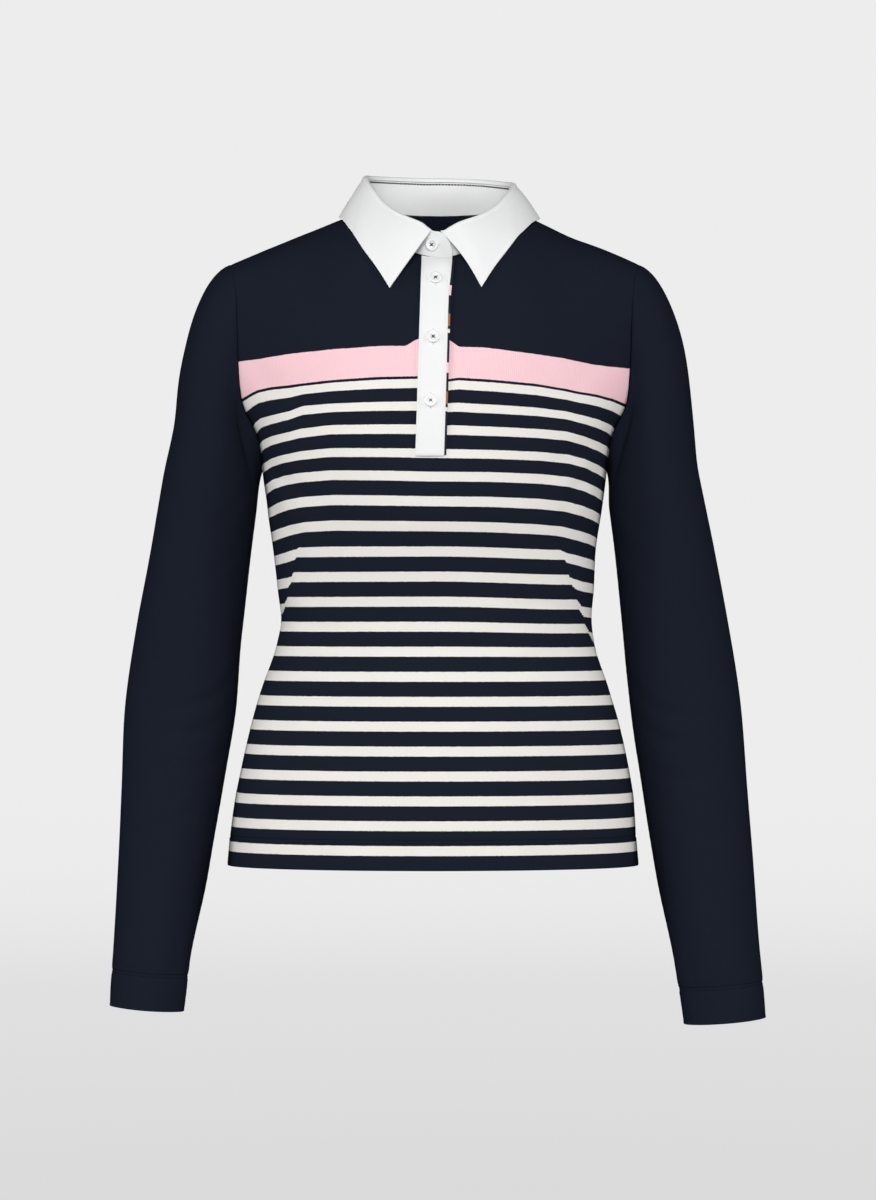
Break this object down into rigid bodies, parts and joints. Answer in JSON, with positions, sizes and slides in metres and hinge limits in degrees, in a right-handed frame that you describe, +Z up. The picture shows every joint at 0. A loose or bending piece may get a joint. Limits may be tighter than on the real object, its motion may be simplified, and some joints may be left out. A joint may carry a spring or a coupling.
{
  "type": "long-sleeved polo shirt",
  "caption": "Hollow long-sleeved polo shirt as worn, with folded shirt collar, buttoned front placket, fitted waist, open hem and cuffs.",
  "frame": {"origin": "centre of the neck base, level with the high shoulder points", "axes": "+Z up the wearer's back, -Y the way the front faces, +X to the wearer's left"},
  "size_m": [0.5758, 0.2305, 0.75],
  "materials": {
    "striped_knit": "matt",
    "navy_knit": "matt",
    "white_cotton": "matt",
    "facing_cotton": "matt",
    "button_resin": "gloss"
  },
  "bodies": {
    "root": {"front": "striped_knit", "back": "navy_knit", "sleeve_left": "navy_knit", "sleeve_right": "navy_knit", "collar_stand": "white_cotton", "collar_leaf": "white_cotton", "placket_over": "white_cotton", "placket_under": "facing_cotton", "button_collar": "button_resin", "button_1": "button_resin", "button_2": "button_resin", "button_3": "button_resin"}
  },
  "joints": []
}
